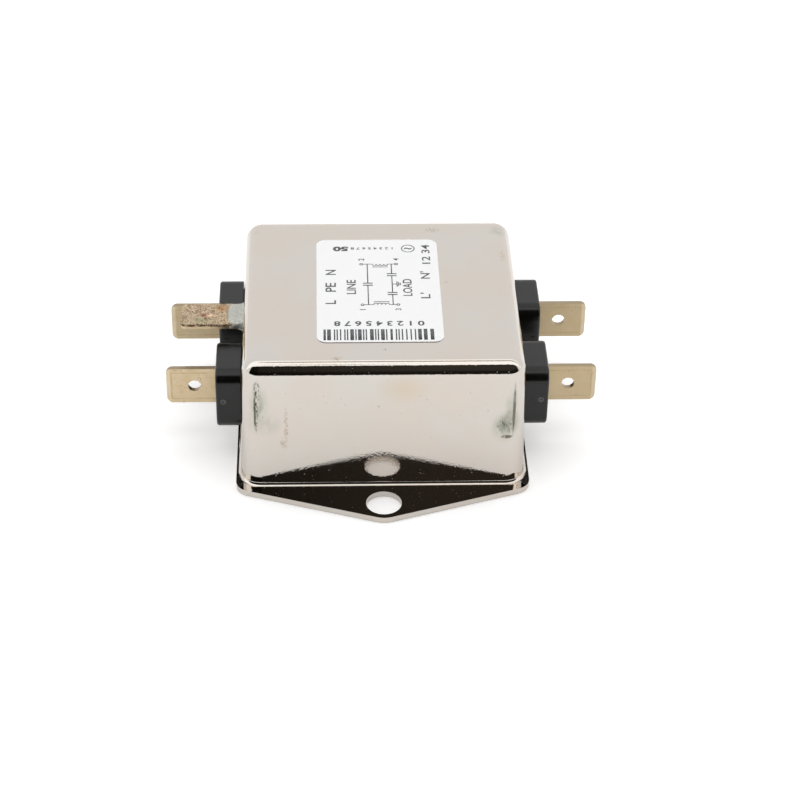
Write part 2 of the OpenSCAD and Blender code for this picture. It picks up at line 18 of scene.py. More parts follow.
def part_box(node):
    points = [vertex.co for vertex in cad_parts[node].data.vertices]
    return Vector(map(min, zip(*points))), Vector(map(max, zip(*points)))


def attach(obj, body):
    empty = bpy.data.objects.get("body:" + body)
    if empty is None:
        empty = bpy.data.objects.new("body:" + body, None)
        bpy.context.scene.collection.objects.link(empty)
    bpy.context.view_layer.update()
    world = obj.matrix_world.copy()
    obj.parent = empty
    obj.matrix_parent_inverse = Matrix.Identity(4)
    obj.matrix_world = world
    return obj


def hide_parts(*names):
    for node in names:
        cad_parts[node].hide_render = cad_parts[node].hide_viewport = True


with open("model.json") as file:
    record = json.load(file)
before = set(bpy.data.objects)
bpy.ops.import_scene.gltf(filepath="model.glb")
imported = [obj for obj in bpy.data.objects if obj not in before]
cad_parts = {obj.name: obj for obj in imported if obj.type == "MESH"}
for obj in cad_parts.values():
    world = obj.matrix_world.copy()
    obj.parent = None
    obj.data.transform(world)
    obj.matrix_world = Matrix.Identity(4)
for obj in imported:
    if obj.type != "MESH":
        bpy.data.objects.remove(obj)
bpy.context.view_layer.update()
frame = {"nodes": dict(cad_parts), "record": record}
nodes = frame["nodes"]
slot_of = {part["node"]: part["material_slot"] for part in frame["record"]["subparts"]}
MM = 0.001

# %% [markdown]
# ## Camera
# A small part is shot from a distance with a long lens, which keeps its verticals nearly parallel. The
# camera looks down by about 37 degrees, so the top, the front wall and the near ear all show. A camera
# looks along its own -Z axis, so its matrix is built from three directions: right, up and backwards.

# %% Camera
AIM = Vector((3.23, 0.0, 1.32)) * MM
DISTANCE = 363 * MM
LENS = 102.42                       # mm, on a sensor 36 mm wide
ELEVATION, YAW, ROLL = (math.radians(a) for a in (36.76, 2.44, 1.02))

forward = Vector((math.sin(YAW) * math.cos(ELEVATION), math.cos(YAW) * math.cos(ELEVATION),
                  -math.sin(ELEVATION)))
level = Vector((math.cos(YAW), -math.sin(YAW), 0.0))
upright = level.cross(forward)
right = math.cos(ROLL) * level + math.sin(ROLL) * upright
up = math.cos(ROLL) * upright - math.sin(ROLL) * level

camera = bpy.data.objects.new("camera", bpy.data.cameras.new("camera"))
bpy.context.scene.collection.objects.link(camera)
camera.matrix_world = (Matrix.Translation(AIM - DISTANCE * forward)
                       @ Matrix((right, up, -forward)).transposed().to_4x4())
camera.data.lens = LENS
camera.data.clip_start = 0.01
bpy.context.scene.camera = camera
print("camera at", [round(v / MM, 1) for v in camera.matrix_world.translation], "mm")

# %% [markdown]
# ## Three helpers for materials
# Hex colours are sRGB, the numbers a paint program shows, and Blender's shaders work in linear light,
# so one function turns the first into the second. The next adds a node, sets its options, and fills its
# inputs: with a value, or with a link where it is given a socket or another node. The last one starts a
# material with Blender's all-round Principled shader, and sets what is the same all over the surface.

# %% Helpers for materials
def linear(hex_colour):
    """Linear RGBA of an sRGB hex colour."""
    channels = [int(hex_colour[i:i + 2], 16) / 255 for i in (0, 2, 4)]
    return [c / 12.92 if c <= 0.04045 else ((c + 0.055) / 1.055) ** 2.4 for c in channels] + [1.0]


def add(tree, kind, inputs=None, **settings):
    """Adds a node, sets its options and fills its inputs with values, sockets or nodes."""
    made = tree.nodes.new("ShaderNode" + kind)
    for name, value in settings.items():
        setattr(made, name, value)
    for name, value in (inputs or {}).items():
        if isinstance(value, bpy.types.Node):
            value = value.outputs[0]
        if isinstance(value, bpy.types.NodeSocket):
            tree.links.new(value, made.inputs[name])
        else:
            made.inputs[name].default_value = value
    return made


def new_material(name, **constants):
    """A material with a Principled shader: returns the material, its node tree and the shader."""
    material = bpy.data.materials.new(name)
    material.use_nodes = True
    shader = material.node_tree.nodes["Principled BSDF"]
    for socket, value in constants.items():
        shader.inputs[socket.replace("_", " ")].default_value = value
    return material, material.node_tree, shader


view = bpy.context.scene.view_settings
view.view_transform = "Standard"
print("a mid grey hex 808080 is", round(linear("808080")[0], 3), "in linear light")

# %% [markdown]
# ## The studio
# Polished metal has hardly any colour of its own: it shows the room. So the room is drawn first, as a
# world whose brightness depends on the direction. A panorama image could light the part too, but nodes
# let each edge of the room be moved by a number. A direction is measured by its slopes: how far it runs
# towards the far side for each metre that it rises, and how far sideways for each metre that it runs.

# %% World: directions
world = bpy.data.worlds.new("studio")
world.use_nodes = True
bpy.context.scene.world = world
sky = world.node_tree
sky.nodes.clear()

direction = add(sky, "SeparateXYZ", {0: add(sky, "TexCoord").outputs["Generated"]})
height = add(sky, "Math", {0: direction.outputs["Z"], 1: 0.001}, operation="MAXIMUM")
lean = add(sky, "Math", {0: direction.outputs["Y"], 1: height}, operation="DIVIDE")
aside = add(sky, "Math", {0: add(sky, "Math", {0: direction.outputs["X"]}, operation="ABSOLUTE"),
                          1: direction.outputs["Y"]}, operation="DIVIDE")


def band(value, low, high, soft):
    """1 where value lies between low and high, with soft edges."""
    rise, fall = (add(sky, "MapRange", {"Value": value, "From Min": edge - soft, "From Max": edge + soft},
                      interpolation_type="SMOOTHSTEP") for edge in (low, high))
    return add(sky, "Math", {0: rise, 1: fall}, operation="SUBTRACT")


print("world:", len(sky.nodes), "nodes measure the direction")

# %% [markdown]
# The room is white all round, with a wide softbox overhead that has a seam across its middle, and it is
# dark where the viewer stands. The dark part is what gives the can its black edge line and its dark
# flange. Every edge in the room is a little soft, as the edge of a cloth softbox is.

# %% World: softbox and dark side
SOFTBOX_EDGES = (-0.46, 0.27)       # run over rise, from the viewer's side to the far side
# Seams in the softbox's cloth: run over rise, how far they reach sideways, and how dark they are
SEAMS = (((0.0, 0.12), (-0.028, 2.0), 0.72), ((-0.34, -0.26), (-0.02, 0.025), 0.6))
DARK_HALF_WIDTH = 2.25              # sideways run over run towards the viewer
ROOM, SOFTBOX = 1.0, 1.5
DARK_SIDES = (0.01, 0.042)          # the dark part from left to right
DARK_TURNS = (-0.06, 0.03)          # where left passes into right, as a direction's sideways part
DARK_FLOOR = 0.35                   # how much of that is left near the floor
FLOOR_ENDS = (0.3, 0.5)             # where the floor's part ends, as a direction's upward part
SOFT = {"softbox": 0.02, "dark part": 0.1, "seam": 0.015, "seam's end": 0.006}     # softness of the edges

softbox = band(lean, *SOFTBOX_EDGES, SOFT["softbox"])
shade = add(sky, "Math", {0: band(lean, -1e4, SOFTBOX_EDGES[0], SOFT["softbox"]),
                          1: band(aside, -DARK_HALF_WIDTH, 1.0, SOFT["dark part"])}, operation="MULTIPLY")
for rise, sideways, darkness in SEAMS:
    seam = add(sky, "Math", {0: band(lean, *rise, SOFT["seam"]),
                             1: band(direction.outputs["X"], *sideways, SOFT["seam's end"])},
               operation="MULTIPLY")
    seam = add(sky, "Math", {0: seam, 1: darkness}, operation="MULTIPLY")
    shade = add(sky, "Math", {0: shade, 1: seam}, operation="MAXIMUM")
lit = add(sky, "MapRange", {"Value": softbox, "To Min": ROOM, "To Max": SOFTBOX})
dark = add(sky, "MapRange", {"Value": direction.outputs["X"],
                             "From Min": DARK_TURNS[0], "From Max": DARK_TURNS[1],
                             "To Min": DARK_SIDES[0], "To Max": DARK_SIDES[1]})
low = add(sky, "MapRange", {"Value": direction.outputs["Z"],
                            "From Min": FLOOR_ENDS[0], "From Max": FLOOR_ENDS[1],
                            "To Min": DARK_FLOOR, "To Max": 1.0})
dark = add(sky, "Math", {0: dark, 1: low}, operation="MULTIPLY")
radiance = add(sky, "MapRange", {"Value": shade, "To Min": lit, "To Max": dark})
seen = add(sky, "MapRange", {"Value": add(sky, "LightPath").outputs["Is Camera Ray"],
                             "To Min": radiance, "To Max": 1.0})
tint = add(sky, "Mix", {0: shade, 6: linear("FFFFFF"), 7: linear("FFF0DC")}, data_type="RGBA")
backdrop = add(sky, "Background", {"Color": tint.outputs[2], "Strength": seen})
add(sky, "OutputWorld", {"Surface": backdrop})
print("world: dark side", DARK_SIDES, "room", ROOM, "softbox", SOFTBOX)

# %% [markdown]
# A white room lights a thing from all sides and leaves it with hardly a shadow. One large lamp overhead
# gives the part its soft shadow on the table. Mirrors don't show the lamp, because the softbox in the
# world already stands in its place there.

# %% Lamp
lamp = bpy.data.objects.new("overhead_lamp", bpy.data.lights.new("overhead_lamp", "AREA"))
bpy.context.scene.collection.objects.link(lamp)
lamp.location = (0.0, 0.05, 0.9)
lamp.data.size = 0.9
lamp.data.energy = 2.2
lamp.visible_glossy = False
print("lamp:", round(lamp.data.energy, 2), "W,", round(lamp.data.size, 2), "m across")

# %% [markdown]
# ## The table
# A sheet of white paper. It is a plain diffuse surface that takes the soft shadow of the part. A little
# light of its own is added for the camera and for reflections only, which turns the paper white without
# putting more light on the part.

# %% Table
GLOW_IN_MIRRORS, GLOW_SEEN = 0.17, 0.29
bpy.ops.mesh.primitive_plane_add(size=6.0)
table = bpy.context.object
table.name = "table"
paper = bpy.data.materials.new("white_paper")
paper.use_nodes = True
tree = paper.node_tree
tree.nodes.clear()
path = add(tree, "LightPath")
mirrored = add(tree, "Math", {0: path.outputs["Is Glossy Ray"], 1: path.outputs["Is Transmission Ray"]},
               operation="MAXIMUM")
mirrored = add(tree, "Math", {0: mirrored, 1: GLOW_IN_MIRRORS}, operation="MULTIPLY")
looked_at = add(tree, "Math", {0: path.outputs["Is Camera Ray"], 1: GLOW_SEEN}, operation="MULTIPLY")
glow = add(tree, "Emission", {"Color": linear("FFFFFF"),
                              "Strength": add(tree, "Math", {0: looked_at, 1: mirrored}, operation="ADD")})
sheet = add(tree, "BsdfDiffuse", {"Color": linear("F2F2F2")})
add(tree, "OutputMaterial", {"Surface": add(tree, "AddShader", {0: sheet, 1: glow})})
table.data.materials.append(paper)
print("table:", table.dimensions.x, "m across")

# %% [markdown]
# ## Four helpers for patterns
# Dirt, wear and grain are drawn by four small recipes, which every finish below uses: a round spot, a
# cloudy grain, the brightest of several masks, and coats of colour that are laid over each other like
# paint. Sizes are in millimetres, so that a pattern can be measured on a real part and typed in.

# %% Helpers for patterns
def spot(tree, place, centre, radii):
    """Mask that is 1 at a centre and 0 on the ellipsoid round it, both in millimetres."""
    here = add(tree, "Mapping", {"Vector": place, "Location": [c * MM for c in centre],
                                 "Scale": [r * MM for r in radii]}, vector_type="TEXTURE")
    return add(tree, "TexGradient", {"Vector": here}, gradient_type="SPHERICAL")


def grain(tree, place, size, low=0.0, high=1.0, stretch=(1, 1, 1), detail=2.0):
    """Noise with features of a size in millimetres, stretched, and mapped from low..high to 0..1."""
    sized = add(tree, "Mapping", {"Vector": place, "Scale": [1 / (size * s * MM) for s in stretch]})
    cloud = add(tree, "TexNoise", {"Vector": sized, "Scale": 1.0, "Detail": detail})
    return add(tree, "MapRange", {"Value": cloud, "From Min": low, "From Max": high})


def widest(tree, masks):
    """The brightest of several masks."""
    result = masks[0]
    for mask in masks[1:]:
        result = add(tree, "Math", {0: result, 1: mask}, operation="MAXIMUM")
    return result


def painted(tree, base, *coats):
    """A base colour with coats over it, each a mask and a colour. Colours are hex or sockets."""
    colour = linear(base) if isinstance(base, str) else base
    for mask, over in coats:
        over = linear(over) if isinstance(over, str) else over
        colour = add(tree, "Mix", {0: mask, 6: colour, 7: over}, data_type="RGBA").outputs[2]
    return colour


print("a grain of 0.3 mm has a noise scale of", round(1 / (0.3 * MM)), "a metre")

# %% [markdown]
# ## Nickel-plated steel
# The can is pressed from sheet steel and then plated with bright nickel, a slightly warm mirror. Where
# it has rubbed in its box, the mirror is dull and grey-green. A painted image could hold such marks, but
# it would need an unwrapped mesh. Spots placed in space need none, and they stay where the wear is. A
# spot whose centre lies off the surface only grazes it, and so leaves a fainter mark.

# %% Nickel: marks
nickel, tree, shader = new_material("bright_nickel_on_drawn_steel", Metallic=1.0)
place = add(tree, "TexCoord").outputs["Object"]

# Marks on the front wall and the top, as centre and radii in mm: a dull haze, dark streaks and
# scratches in it, and places that are only faintly stained
FRONT = -20.5
HAZE = [((-18.7, FRONT, 15.6), (1.7, 1.5, 5.0)), ((-17.6, FRONT + 0.8, 12.2), (3.2, 1.5, 2.8)),
        ((18.2, FRONT, 11.5), (2.4, 1.5, 3.0)), ((19.1, FRONT, 13.8), (1.3, 1.5, 5.2)),
        ((-19.9, 16.2, 23.6), (1.6, 1.6, 1.2)), ((19.4, 16.2, 23.5), (2.4, 2.0, 1.5))]
STREAKS = [((19.45, FRONT, 14.6), (0.3, 1.5, 5.4)), ((18.5, FRONT, 9.7), (1.0, 1.5, 0.4)),
           ((-19.2, FRONT, 14.6), (0.22, 1.5, 3.8)), ((18.4, FRONT + 1.2, 12.2), (2.2, 1.5, 4.4))]
SCRATCHES = [((-18.9, FRONT, 18.2), (0.7, 1.5, 2.2)), ((-19.05, FRONT, 14.6), (0.45, 1.5, 4.4)),
             ((18.0, FRONT + 0.9, 11.6), (2.2, 1.5, 2.6)), ((-0.8, FRONT, 15.5), (0.25, 1.5, 0.25)),
             ((0.1, -16.2, 22.8), (0.3, 0.3, 0.5))]
FAINT = [((-14.6, FRONT, 11.6), (0.4, 1.5, 4.4)), ((-15.0, FRONT, 8.9), (0.7, 1.5, 1.2)),
         ((10.0, 1.6, 22.8), (0.7, 0.3, 0.5)), ((19.6, 9.0, 23.3), (1.0, 3.0, 1.0)),
         ((8.5, 16.5, 23.1), (1.8, 1.0, 0.6)), ((-7.0, -18.4, 22.8), (1.0, 0.5, 0.6))]


def marks(tree, place, where, sharp, texture):
    """Mask of several spots, whose edges are as sharp as asked, broken up by a texture."""
    mask = add(tree, "MapRange", {"Value": widest(tree, [spot(tree, place, *one) for one in where]),
                                  "From Max": sharp})
    return add(tree, "Math", {0: mask, 1: texture}, operation="MULTIPLY")


haze = marks(tree, place, HAZE, 0.8, grain(tree, place, 0.9, 0.2, 0.6, stretch=(1, 1, 2.5)))
streaks = marks(tree, place, STREAKS, 0.4, grain(tree, place, 0.5, 0.2, 0.5, stretch=(1, 1, 3)))
faint = marks(tree, place, FAINT, 0.6, grain(tree, place, 0.3, 0.4, 0.7))
scratched = marks(tree, place, SCRATCHES, 0.5, grain(tree, place, 0.22, 0.44, 0.66, stretch=(1, 1, 2.5)))
print("nickel:", len(HAZE), "hazes,", len(STREAKS), "streaks and", len(SCRATCHES), "scratched places")

# %% [markdown]
# Nickel's colour varies a little from bath to bath and with the thickness of the plating: here over some
# 9 mm, from a cooler grey to a warmer one. Rub marks, dust and scratches also scatter light, so the same
# masks that darken the colour make the surface rough. A speck of dust is drawn 0.35 mm across, larger
# than a real one, so that it shows.

# %% Nickel: colour and gloss
plating = painted(tree, "D2CDC6", (grain(tree, place, 9.0, 0.35, 0.65), "D4CBC2"))
warm = spot(tree, place, (2.9, FRONT, 18.6), (4.5, 1.5, 3.0))
plating = painted(tree, plating, (warm, "D1C4B2"), (haze, "B3B5A8"), (faint, "B09C86"),
                  (streaks, "7C7B6E"), (scratched, "4A4B42"))
tree.links.new(plating, shader.inputs["Base Color"])
dust = grain(tree, place, 0.35, 0.8, 0.86, detail=0.0)
dull = widest(tree, [haze, streaks, scratched, dust])
BRIGHT, RUBBED = 0.03, 0.45         # roughness of the clean mirror, and of a rub mark
gloss = add(tree, "MapRange", {"Value": dull, "To Min": BRIGHT, "To Max": RUBBED})
tree.links.new(gloss.outputs[0], shader.inputs["Roughness"])
print("nickel: roughness", BRIGHT, "where it is clean and", RUBBED, "where it has rubbed")

# %% [markdown]
# The plating copies the sheet under it, so reflections wander a little, in a wave some 7 mm long, and
# break up into a fine grain, the orange peel, which is 0.3 mm across. The peel is strongest near the foot
# of the walls, where the sheet was stretched most, and almost absent on the flat top. Both are bump: they
# are thousandths of a millimetre deep, far too shallow to show on an outline.

# %% Nickel: relief
WAVE_DEPTH, PEEL_DEPTH = 0.012, 0.006                   # mm
PEEL_STARTS, PEEL_FULL = 22.8, 22.3                     # heights in mm
PEEL_ON_TOP, PEEL_AT_FOOT = 0.1, 2.4                    # times the peel on the walls
wave = add(tree, "Bump", {"Height": grain(tree, place, 7.0), "Strength": 1.0, "Distance": WAVE_DEPTH * MM})
stretched = add(tree, "MapRange", {"Value": add(tree, "SeparateXYZ", {0: place}).outputs["Z"],
                                   "From Min": PEEL_STARTS * MM, "From Max": PEEL_FULL * MM,
                                   "To Min": PEEL_ON_TOP})
foot = add(tree, "MapRange", {"Value": spot(tree, place, (0, 0, 4.5), (40, 40, 5)), "From Max": 0.4,
                              "To Min": 1.0, "To Max": PEEL_AT_FOOT})
stretched = add(tree, "Math", {0: stretched, 1: foot}, operation="MULTIPLY")
peel = add(tree, "Math", {0: grain(tree, place, 0.3), 1: stretched}, operation="MULTIPLY")
peel = add(tree, "Bump", {"Height": peel, "Strength": 1.0, "Distance": PEEL_DEPTH * MM, "Normal": wave})
tree.links.new(peel.outputs[0], shader.inputs["Normal"])
finish_of = {"nickel_plated_steel": nickel}     # slot in the record: its finish
print("nickel relief: wave", WAVE_DEPTH, "mm, orange peel", PEEL_DEPTH, "mm")

# %% [markdown]
# ## Black insulators
# Moulded in a glass-filled black nylon with a fairly glossy skin. Such a black is very deep: what the
# eye sees is mostly the plastic's clear reflection of the studio, about 4 percent of it face-on. The mark
# where the plastic entered the mould shows as a small grey ring, with a dull face, on each outer side.

# %% Black insulators
moulded, tree, shader = new_material("moulded_black_nylon", IOR=1.45)
place = add(tree, "TexCoord").outputs["Object"]
cloudy = painted(tree, "080808", (grain(tree, place, 2.5, 0.3, 0.7), "101010"))
handled = add(tree, "MapRange", {"Value": grain(tree, place, 1.2), "To Min": 0.15, "To Max": 0.3})
head_low, head_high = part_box("insulator_line_l")
GATE_IN, GATE_UP, GATE_SIZE = 1.1, 0.3, 0.52        # mm from the head's outer face, above its middle, radius
head_middle = (head_low.z + head_high.z) / 2 / MM
gates = widest(tree, [spot(tree, place, (side * (-head_low.x / MM - GATE_IN), head_low.y / MM,
                                         head_middle + GATE_UP), (GATE_SIZE, 0.6, GATE_SIZE))
                      for side in (-1, 1)])
# 1 on the ring, 0.3 on the face inside it
gate = add(tree, "Math", {0: add(tree, "MapRange", {"Value": gates, "From Max": 0.25}),
                          1: add(tree, "MapRange", {"Value": gates, "From Min": 0.75, "From Max": 0.5,
                                                    "To Min": 0.3})}, operation="MULTIPLY")
tree.links.new(painted(tree, cloudy, (gate, "6E6E6E")), shader.inputs["Base Color"])
rough = add(tree, "Math", {0: handled, 1: add(tree, "Math", {0: gate, 1: 0.3}, operation="MULTIPLY")},
            operation="ADD")
tree.links.new(rough.outputs[0], shader.inputs["Roughness"])
skin = add(tree, "Bump", {"Height": grain(tree, place, 0.3), "Strength": 1.0, "Distance": 0.002 * MM})
tree.links.new(skin.outputs[0], shader.inputs["Normal"])
finish_of["black_insulator"] = moulded
print("insulators: head", round((head_high.z - head_low.z) / MM, 1), "mm high")

# %% [markdown]
# ## Tinned brass blades
# Quick-connect blades are punched from brass strip with a thin coat of tin, which has gone a dull straw
# colour. The strip was rolled along its length, so the reflections are soft and a little streaky. The
# rolling lines are finer than a render shows, so they are drawn 0.2 mm wide. A faint dark line inside each
# edge is painted shade, where a bevel that the solid doesn't have would turn away from the light. That
# line follows the blade's outline, so the first cell measures how far each point lies from the edges.

# %% Brass: distance from the edges
brass, tree, shader = new_material("tinned_rolled_brass", Metallic=1.0)
place = add(tree, "TexCoord").outputs["Object"]
blade_low, blade_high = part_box("blade_load_l")

# Distance in millimetres from the edges of an upright blade: from its tip, and from its long edges
across = add(tree, "SeparateXYZ", {0: place})
edges = []
for axis, middle, half in (("X", 0.0, blade_high.x),
                           ("Z", (blade_low.z + blade_high.z) / 2, (blade_high.z - blade_low.z) / 2)):
    off = add(tree, "Math", {0: across.outputs[axis], 1: middle}, operation="SUBTRACT")
    off = add(tree, "Math", {0: off}, operation="ABSOLUTE")
    edges.append(add(tree, "MapRange", {"Value": off, "From Min": half, "From Max": half - 1 * MM},
                     clamp=False))
rim = add(tree, "Math", {0: edges[0], 1: edges[1]}, operation="MINIMUM")
# The dark line inside each edge is painted shade along a bevel that the solid lacks: its distance from the
# edge and half its width in mm
BEVEL_LINE_IN, LINE_HALF = 0.75, 0.16      # mm from the edge to the coined line, and half its width
bevel_shade_line = add(tree, "Math", {0: rim, 1: BEVEL_LINE_IN}, operation="SUBTRACT")
bevel_shade_line = add(tree, "Math", {0: bevel_shade_line}, operation="ABSOLUTE")
bevel_shade_line = add(tree, "MapRange", {"Value": bevel_shade_line, "From Max": LINE_HALF, "To Min": 1.0, "To Max": 0.0},
             interpolation_type="SMOOTHSTEP")
bevel_shade_line = add(tree, "Math", {0: bevel_shade_line, 1: grain(tree, place, 2.0, 0.3, 0.6)}, operation="MULTIPLY")
print("brass: blades end at", round(blade_high.x / MM, 1), "mm, coined line", BEVEL_LINE_IN, "mm inside the edge")

# %% [markdown]
# The blades are darker towards the load side. The far blade of the line side gets a painted shade, for the
# shadow and the dark reflection that the earth blade casts on it. The tips get a painted highlight, for the
# light that their chamfered lead-in catches. The punch sheared the long edges through, so they show bare,
# duller brass.

# %% Brass: colour and relief
# The far line blade's darker spot is painted shade, for the earth blade's shadow and dark reflection on it,
# not tarnish: middle and reach in mm
FAR_BLADE_SHADE = ((-29.0, 13.0, 11.0), (10.0, 8.0, 8.0))     # middle and reach in mm of the dullest tarnish
HIGHLIGHT_FROM, HIGHLIGHT_FULL = 0.7, 0.45    # mm from the tip
straw = painted(tree, "D3BFA0", (grain(tree, place, 1.6, 0.3, 0.7), "C9B590"))
load_side = add(tree, "MapRange", {"Value": across.outputs["X"], "From Max": 20 * MM, "To Max": 0.6})
# Painted highlight: the tips are lighter, for the light that their chamfered lead-in catches
tip_highlight = add(tree, "MapRange", {"Value": edges[0], "From Min": HIGHLIGHT_FROM, "From Max": HIGHLIGHT_FULL,
                                  "To Max": 0.35})
specks = grain(tree, place, 0.3, 0.67, 0.75)
straw = painted(tree, straw, (load_side, "B5A383"), (spot(tree, place, *FAR_BLADE_SHADE), "998E77"),
                (bevel_shade_line, "B09B76"), (tip_highlight, "DDD2BC"), (specks, "86744F"))

# Sheared edges face up, down or outwards on an upright blade
facing = add(tree, "SeparateXYZ", {0: add(tree, "NewGeometry").outputs["Normal"]}).outputs["Y"]
sheared = add(tree, "MapRange", {"Value": add(tree, "Math", {0: facing}, operation="ABSOLUTE"),
                                 "From Min": 0.5, "From Max": 0.2})
sheared = add(tree, "Math", {0: sheared, 1: grain(tree, place, 0.5, 0.15, 0.35)}, operation="MULTIPLY")
tree.links.new(painted(tree, straw, (sheared, "A5957C")), shader.inputs["Base Color"])
rolled = add(tree, "MapRange", {"Value": grain(tree, place, 0.25, stretch=(8, 1, 1)),
                                "To Min": 0.24, "To Max": 0.4})
tree.links.new(rolled.outputs[0], shader.inputs["Roughness"])
lines = add(tree, "Bump", {"Height": grain(tree, place, 0.2, stretch=(10, 1, 1)), "Strength": 1.0,
                           "Distance": 0.002 * MM})
tree.links.new(lines.outputs[0], shader.inputs["Normal"])
finish_of["tinned_brass"] = brass
print("brass: finish", brass.name)

# %% [markdown]
# ## Label film
# A white polyester film with a satin face. It is as flat as the metal under it, with a faint dimple
# some 0.6 mm wide from its liner.

# %% Label film
film, tree, shader = new_material("white_polyester_film", Roughness=0.35)
place = add(tree, "TexCoord").outputs["Object"]
tree.links.new(painted(tree, "EFEFEF", (grain(tree, place, 3.0), "EBECEC")), shader.inputs["Base Color"])
dimple = add(tree, "Bump", {"Height": grain(tree, place, 0.6), "Strength": 1.0, "Distance": 0.001 * MM})
tree.links.new(dimple.outputs[0], shader.inputs["Normal"])
finish_of["label_film"] = film

# %% [markdown]
# ## Inner parts
# The closed can hides these, but a reader may open the model up, so each has its own finish: glossy
# lacquered copper, dull dipped ceramic, satin moulded plastic. They differ in colour, gloss and grain
# only, so one loop makes them from a table.

# %% Inner parts
# slot: (name, two colours, metallic, roughness, grain in mm)
INNER = {
    "solder": ("wave_soldered_tin", "C9CDCC", "AEB3B3", 1.0, 0.35, 0.5),
    "adhesive": ("black_potting_adhesive", "1E1D1C", "2A2927", 0.0, 0.4, 1.5),
    "tray_plastic": ("moulded_ivory_polyester", "DDD6C2", "D3CBB4", 0.0, 0.5, 2.0),
    "board_laminate": ("phenolic_paper_laminate", "A8925A", "94804C", 0.0, 0.45, 0.8),
    "ferrite": ("epoxy_coated_ferrite", "33503F", "2A4335", 0.0, 0.4, 0.6),
    "enamelled_copper": ("enamelled_copper_wire", "B5652F", "8F4A20", 1.0, 0.25, 1.0),
    "film_capacitor": ("moulded_yellow_polypropylene", "D9A92B", "CC9A20", 0.0, 0.35, 1.2),
    "disc_capacitor": ("blue_epoxy_dip", "2C5E9E", "24508A", 0.0, 0.3, 1.5),
    "resistor_body": ("lacquered_ceramic_body", "CBB284", "BFA473", 0.0, 0.4, 0.6),
    "tinned_wire": ("tinned_copper_wire", "C4C4C2", "B2B2B0", 1.0, 0.3, 0.5)}
for slot, (name, light, dark, metallic, rough, size) in INNER.items():
    made, tree, shader = new_material(name, Metallic=metallic)
    place = add(tree, "TexCoord").outputs["Object"]
    mottled = grain(tree, place, size, 0.3, 0.7)
    tree.links.new(painted(tree, light, (mottled, dark)), shader.inputs["Base Color"])
    gloss = add(tree, "MapRange", {"Value": mottled, "To Min": rough - 0.05, "To Max": rough + 0.08})
    tree.links.new(gloss.outputs[0], shader.inputs["Roughness"])
    relief = add(tree, "Bump", {"Height": mottled, "Strength": 1.0, "Distance": 0.01 * size * MM})
    tree.links.new(relief.outputs[0], shader.inputs["Normal"])
    finish_of[slot] = made
print("inner finishes:", len(INNER))

# %% [markdown]
# ## Hand-soldered earth joint
# The earth blade was soldered by hand. A grey lump joins it to the wall, and a rough skin of tin lies on
# its top, fills its hole and has run over its near edge with burnt flux. Such forms have no straight
# line. They could be carved by hand in Sculpt Mode, but code can be read and changed: each is a row of
# rings, whose points are moved by smooth noise in several sizes.

# %% Helpers for sculpted pieces
LEAN = math.radians(5)              # the earth blade's lean towards the N side


def ringed_piece(name, rows, material):
    """A closed mesh through rings of points, capped at both ends."""
    mesh = bpy.data.meshes.new(name)
    wide = len(rows[0])
    faces = []
    for r in range(len(rows) - 1):
        for c in range(wide):
            after = (c + 1) % wide
            faces.append((r * wide + c, r * wide + after, (r + 1) * wide + after, (r + 1) * wide + c))
    faces.append(tuple(range(wide - 1, -1, -1)))
    faces.append(tuple((len(rows) - 1) * wide + c for c in range(wide)))
    mesh.from_pydata([p for row in rows for p in row], [], faces)
    mesh.update()
    tidy = bmesh.new()
    tidy.from_mesh(mesh)
    bmesh.ops.recalc_face_normals(tidy, faces=tidy.faces)
    tidy.to_mesh(mesh)
    tidy.free()
    mesh.polygons.foreach_set("use_smooth", [True] * len(mesh.polygons))
    mesh.materials.append(material)
    piece = bpy.data.objects.new(name, mesh)
    bpy.context.scene.collection.objects.link(piece)
    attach(piece, "root")
    print(name, len(mesh.polygons), "faces")
    return piece


def lump(point, size):
    """Smooth noise from -1 to 1 with features of a size in millimetres."""
    return noise.noise(point / (size * MM))


# %% [markdown]
# Solder that cooled slowly under an iron is grey and frosted, because crystals some 0.35 mm across have
# grown on its skin. It is still a metal, so it reflects, but only softly.

# %% Solder: frosted finish
cold_solder, tree, shader = new_material("hand_soldered_tin", Metallic=1.0)
place = add(tree, "TexCoord").outputs["Object"]
crystals = grain(tree, place, 0.35, 0.3, 0.7)
tree.links.new(painted(tree, "CBCBC4", (crystals, "B5B6AF")), shader.inputs["Base Color"])
frosted = add(tree, "MapRange", {"Value": crystals, "To Min": 0.42, "To Max": 0.6})
tree.links.new(frosted.outputs[0], shader.inputs["Roughness"])
frost = add(tree, "Bump", {"Height": crystals, "Strength": 1.0, "Distance": 0.012 * MM})
tree.links.new(frost.outputs[0], shader.inputs["Normal"])
print("solder: finish", cold_solder.name)

# %% [markdown]
# The bead wets the wall, where it flares out into a thin foot, and it wraps the blade, where it ends in a
# blunt lip. So its rings run from the wall to the lip: t is 0 at the wall and 1 at the lip, and each ring
# is a flattened oval whose two half sizes depend on t.

